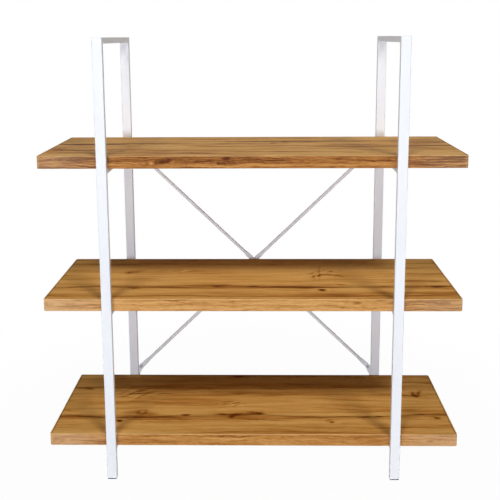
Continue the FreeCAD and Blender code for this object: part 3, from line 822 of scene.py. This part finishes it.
def dark_marks(finish, along, across, marks):
    """How much the marks darken a point. Each mark is a soft oval."""
    spot = finish.node("ShaderNodeCombineXYZ", inputs={"X": along, "Y": across})
    total = 0.0
    for spot_along, spot_across, length, width, slant, depth in marks:
        inside = finish.node(
            "ShaderNodeMapping",
            {"vector_type": "TEXTURE"},
            {
                "Vector": spot,
                "Location": (spot_along * MM, spot_across * MM, 0.0),
                "Rotation": (0.0, 0.0, math.radians(slant)),
                "Scale": (length * MM, width * MM, 1.0),
            },
        )
        reach = finish.node("ShaderNodeVectorMath", {"operation": "LENGTH"}, {0: inside}, out="Value")
        total = reach.hump(1.0) * depth + total
    return total


def behind_joint(level, along, across):
    """How far a point lies behind the bent line where the board's two planks meet."""
    base, bends = JOINTS[level]
    behind = across - base * MM
    for spot, length, height in bends:
        behind = behind - (along - spot * MM).hump(length * MM) * (height * MM)
    return behind


def feathered(level, along, across):
    """How much of the slanting strokes shows at a point."""
    share = 0.0
    for spot_along, spot_across, length, width in FEATHERS[level]:
        near_along = (along - spot_along * MM).hump(length * MM)
        near_across = (across - spot_across * MM).hump(width * MM)
        share = near_along * near_across + share
    return share


def oak_face(level):
    finish = Finish("%s_oak_face" % level)
    x, y = finish.place("X", "Y")
    seed = GRAIN_SEEDS[level]
    ripple = finish.noise(FACE_RIPPLE, x, y, seed).swing()
    wiggle = finish.noise(FACE_WIGGLE, x, y, seed).swing()
    drift = finish.noise(FACE_DRIFT, x, y, seed).swing()
    fray = finish.noise(FACE_FRAY, x, y, seed).swing()

    knot_along, knot_across = KNOT_RIPPLE
    parted = parted_grain(x + ripple * knot_along, y + ripple * knot_across, FACE_KNOTS[level])
    grain = parted + drift * GRAIN_DRIFT + ripple * GRAIN_RIPPLE + wiggle * GRAIN_WIGGLE
    joint = behind_joint(level, x, y + ripple * JOINT_RIPPLE)
    rear_plank = joint > 0.0
    plank = rear_plank * PLANK_LAYERS + seed

    bands = finish.noise(FACE_BANDS, x + seed / FACE_BANDS.along, grain, plank)
    streaks = finish.noise(FACE_STREAKS[level], x, grain, plank)
    contour = finish.noise(FACE_CONTOUR, x, grain, plank).swing().hump(CONTOUR_WIDTH)
    fibres = finish.noise(FACE_FIBRES, x, grain, seed)
    pores = finish.noise(FACE_PORES, x, grain, seed).between(*PORE_EDGE)
    patches = finish.noise(FACE_PATCHES, x, y, seed).swing()
    strokes = finish.noise(FACE_STROKES, x + y * STROKE_SLANT, y - x * STROKE_SLANT, seed).swing()
    mark_along, mark_across = MARK_WIGGLE
    marks = dark_marks(
        finish,
        x + wiggle * mark_along + fray * MARK_FRAY,
        y + wiggle * mark_across + fray * MARK_FRAY,
        FACE_MARKS[level],
    )

    tone = (
        FACE_TONE[level]
        + bands.swing() * BAND_DEPTH[level]
        + streaks.swing() * STREAK_DEPTH[level]
        + fibres.swing() * FIBRE_DEPTH
        + patches * PATCH_DEPTH
        - contour * CONTOUR_DEPTH[level]
        + strokes * feathered(level, x, y) * FEATHER_DEPTH[level]
        - marks * (MARK_DEPTH + streaks * MARK_STREAKS)
        + rear_plank * REAR_PLANK_LIFT[level]
    )
    crack = joint.hump(CRACK_WIDTH) * CRACK_SHARE + joint.hump(CRACK_SHADE_WIDTH) * CRACK_SHADE_SHARE
    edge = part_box("%s_shelf" % level)[1]
    margin = (y - edge.y).at_least(abs(x) - edge.x).between(*MARGIN_RUN)
    colour = finish.ramp(tone, FACE_STOPS)
    colour = finish.blend(crack, colour, CRACK_BROWN)
    colour = finish.blend(pores * PORE_SHARE, colour, PORE_BROWN)
    colour = finish.blend(margin * MARGIN_SHARE, colour, CRACK_BROWN)
    roughness = FACE_ROUGHNESS + fibres.swing() * FIBRE_ROUGHNESS + pores * PORE_ROUGHNESS
    return finish.surface({
        "Base Color": colour,
        "Roughness": roughness - marks * MARK_ROUGHNESS,
        "Specular IOR Level": FACE_SHEEN[level],
        "Normal": finish.relief(fibres * FIBRE_RELIEF - pores - crack, FACE_RELIEF),
    })


def at_ends(x, ends, pair):
    """The pair's first value at the left end of a board, its second at the right end and 0 between them."""
    left, right = pair
    return ends * (left + (x > 0.0) * (right - left))


def pale_line_and_highlights(x, height, thickness, half_length):
    """How much an edging is painted paler: a painted highlight along its top edge and round its end corners,
    and a paler line along its bottom edge.
    """
    low_rim = height.hump(LOW_RIM_WIDTH) * LOW_RIM_SHARE
    # Painted highlight along the top edge
    top_highlight = (height - thickness).hump(TOP_HIGHLIGHT_WIDTH) * TOP_HIGHLIGHT_SHARE
    # Painted highlight round the end corners
    corner = (abs(x) - half_length).hump(CORNER_HIGHLIGHT_WIDTH) * CORNER_HIGHLIGHT_SHARE
    return (low_rim + top_highlight + corner).clipped()


def oak_edging(level):
    finish = Finish("%s_oak_edging" % level)
    x, y, z = finish.place("X", "Y", "Z")
    seed = GRAIN_SEEDS[level] + EDGING_LAYER
    low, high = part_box("%s_shelf_edging" % level)
    along = x + x.sign() * (y - low.y)
    height = z - low.z
    wave = finish.noise(EDGING_WAVE, along, height, seed).swing()
    swirl = finish.noise(EDGING_SWIRL, along, height, seed).swing()

    knot_along, knot_up = EDGING_KNOT_SWIRL
    parted = parted_grain(along + swirl * knot_along, height + swirl * knot_up, EDGING_KNOTS[level])
    grain = parted + wave * EDGING_GRAIN_WAVE + swirl * EDGING_GRAIN_SWIRL
    bands = finish.noise(EDGING_BANDS, along, grain, seed)
    flames = finish.noise(EDGING_FLAMES, along, grain, seed)
    contour = finish.noise(EDGING_CONTOUR, along, grain, seed).swing().hump(EDGING_CONTOUR_WIDTH)
    fibres = finish.noise(EDGING_FIBRES, along, grain, seed)
    pores = finish.noise(EDGING_PORES, along, grain, seed).between(*PORE_EDGE)
    mark_along, mark_up = EDGING_MARK_SWIRL
    marks = dark_marks(finish, along + swirl * mark_along, height + swirl * mark_up, EDGING_MARKS[level])

    ends = abs(x).between(*END_RUN)
    flame_depth = (1.0 + ends * END_FLAMES[level]) * FLAME_DEPTH[level]
    low_band = (height + wave * LOW_BAND_WAVE - LOW_BAND_HEIGHT).hump(LOW_BAND_WIDTH) - LOW_BAND_MIDDLE
    tone = (
        EDGING_TONE
        + bands.swing() * EDGING_BAND_DEPTH
        + flames.swing() * flame_depth
        + at_ends(x, ends, END_TONES[level])
        + fibres.swing() * EDGING_FIBRE_DEPTH
        - contour * EDGING_CONTOUR_DEPTH
        - marks * (EDGING_MARK_DEPTH + flames * EDGING_MARK_FLAMES)
        + low_band * (1.0 - ends) * LOW_BAND_DEPTH[level]
    )
    end_share = at_ends(x, ends, END_SHARES[level]) * (flames * END_FLAME_SHARE - END_FLAME_START)
    colour = finish.ramp(tone, EDGING_STOPS[level])
    colour = finish.blend(end_share.clipped(), colour, END_PALE)
    colour = finish.blend(pores * EDGING_PORE_SHARE, colour, PORE_BROWN)
    # Painted highlights along the top edge and round the corners, and a paler line along the bottom edge
    colour = finish.blend(pale_line_and_highlights(x, height, high.z - low.z, high.x), colour, PALE_LINE_AND_HIGHLIGHT)
    return finish.surface({
        "Base Color": colour,
        "Roughness": EDGING_ROUGHNESS + fibres.swing() * EDGING_FIBRE_ROUGHNESS + pores * PORE_ROUGHNESS,
        "Specular IOR Level": EDGING_SHEEN,
        "Normal": finish.relief(fibres * FIBRE_RELIEF - pores, EDGING_RELIEF),
    })


# Weld beads: round each rail end where it meets the post, and down both faces of each lug

RAIL_BEAD = 1.7 * MM
LUG_BEAD = 1.2 * MM
LUG_LEVELS = ("lower", "upper")
RIPPLE_PITCH = 2.6 * MM
RIPPLE_SHARE = 0.16
BEAD_STEP = 0.65 * MM
BEAD_SIDES = 10
BEAD_LEAST_STEPS = 2
BEAD_END_SHARE = 0.06
BACKWARD = Vector((0.0, 1.0, 0.0))


def bead_stations(corners):
    """Points along the bead, evenly spaced from corner to corner, with the run of bead up to each one."""
    run = 0.0
    stations = [(corners[0], run)]
    for start, end in zip(corners, corners[1:]):
        count = max(BEAD_LEAST_STEPS, round((end - start).length / BEAD_STEP))
        for number in range(1, count + 1):
            spot = start.lerp(end, number / count)
            run += (spot - stations[-1][0]).length
            stations.append((spot, run))
    return stations


def bead_radius(run, total, radius):
    """The ripples left by the torch, and the rounded start and end of the bead."""
    ripple = 1.0 - RIPPLE_SHARE * (run % RIPPLE_PITCH) / RIPPLE_PITCH
    from_end = min(run, total - run, radius) / radius
    return radius * ripple * math.sqrt(max(BEAD_END_SHARE, 1.0 - (1.0 - from_end) ** 2))


def bead_normal(corners):
    """Square to the plane of a bent bead. A straight one has no plane of its own."""
    if len(corners) == 2:
        return BACKWARD
    return (corners[1] - corners[0]).cross(corners[-1] - corners[0]).normalized()


def add_bead(mesh, corners, radius):
    stations = bead_stations(corners)
    total = stations[-1][1]
    normal = bead_normal(corners)
    rings = []
    for place, (spot, run) in enumerate(stations):
        before = stations[max(place - 1, 0)][0]
        after = stations[min(place + 1, len(stations) - 1)][0]
        across = (after - before).normalized().cross(normal)
        size = bead_radius(run, total, radius)
        turns = (math.tau * number / BEAD_SIDES for number in range(BEAD_SIDES))
        rings.append([
            mesh.verts.new(spot + (across * math.cos(turn) + normal * math.sin(turn)) * size)
            for turn in turns
        ])
    for ring, next_ring in zip(rings, rings[1:]):
        for number in range(BEAD_SIDES):
            other = (number + 1) % BEAD_SIDES
            mesh.faces.new((ring[number], ring[other], next_ring[other], next_ring[number]))
    mesh.faces.new(rings[0][::-1])
    mesh.faces.new(rings[-1])


def add_rail_beads(mesh, side):
    for level in LEVELS:
        low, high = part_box("%s_%s_rail" % (side, level))
        for end in (low.y, high.y):
            add_bead(mesh, [
                Vector((low.x, end, high.z - RAIL_BEAD)),
                Vector((low.x, end, low.z)),
                Vector((high.x, end, low.z)),
                Vector((high.x, end, high.z - RAIL_BEAD)),
            ], RAIL_BEAD)


def add_lug_beads(mesh, side):
    post_low, post_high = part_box("%s_rear_post" % side)
    inner = post_low.x if side == "right" else post_high.x
    for level in LUG_LEVELS:
        low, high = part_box("%s_%s_brace_lug" % (side, level))
        for face in (low.y, high.y):
            add_bead(mesh, [
                Vector((inner, face, low.z + LUG_BEAD)),
                Vector((inner, face, high.z - LUG_BEAD)),
            ], LUG_BEAD)


def add_frame_welds(side):
    mesh = bmesh.new()
    add_rail_beads(mesh, side)
    add_lug_beads(mesh, side)
    bmesh.ops.recalc_face_normals(mesh, faces=mesh.faces)
    data = bpy.data.meshes.new("%s_frame_welds" % side)
    mesh.to_mesh(data)
    mesh.free()
    data.shade_smooth()
    welds = bpy.data.objects.new("%s_frame_welds" % side, data)
    bpy.context.scene.collection.objects.link(welds)
    return welds


# Dressing: each CAD node gets its finish, and the welds ride with the frames

def mix_finishes():
    """Each finish under the name of the slot or of the node that takes it."""
    finishes = {
        "white_coat": white_coat("white_coat", FRAME_SHEEN),
        "rising_brace_rod": white_coat("rod_white_coat", ROD_SHEEN),
        "zinc_steel": zinc_steel(),
        "dark_plastic": dark_plastic(),
    }
    finishes["falling_brace_rod"] = finishes["rising_brace_rod"]
    for level in LEVELS:
        finishes["%s_shelf" % level] = oak_face(level)
        finishes["%s_shelf_edging" % level] = oak_edging(level)
    return finishes


def dress_nodes(finishes):
    for name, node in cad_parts.items():
        for slot in node.material_slots:
            slot_name = slot.material.name.split(".")[0]
            slot.material = finishes.get(name) or finishes[slot_name]


def dress_welds(finishes):
    for side in SIDES:
        welds = add_frame_welds(side)
        welds.data.materials.append(finishes["white_coat"])
        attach(welds, "root")


bpy.context.scene.view_settings.view_transform = "Standard"
set_camera()
set_lamps()
set_surround()
set_floor()
unit_finishes = mix_finishes()
dress_nodes(unit_finishes)
dress_welds(unit_finishes)
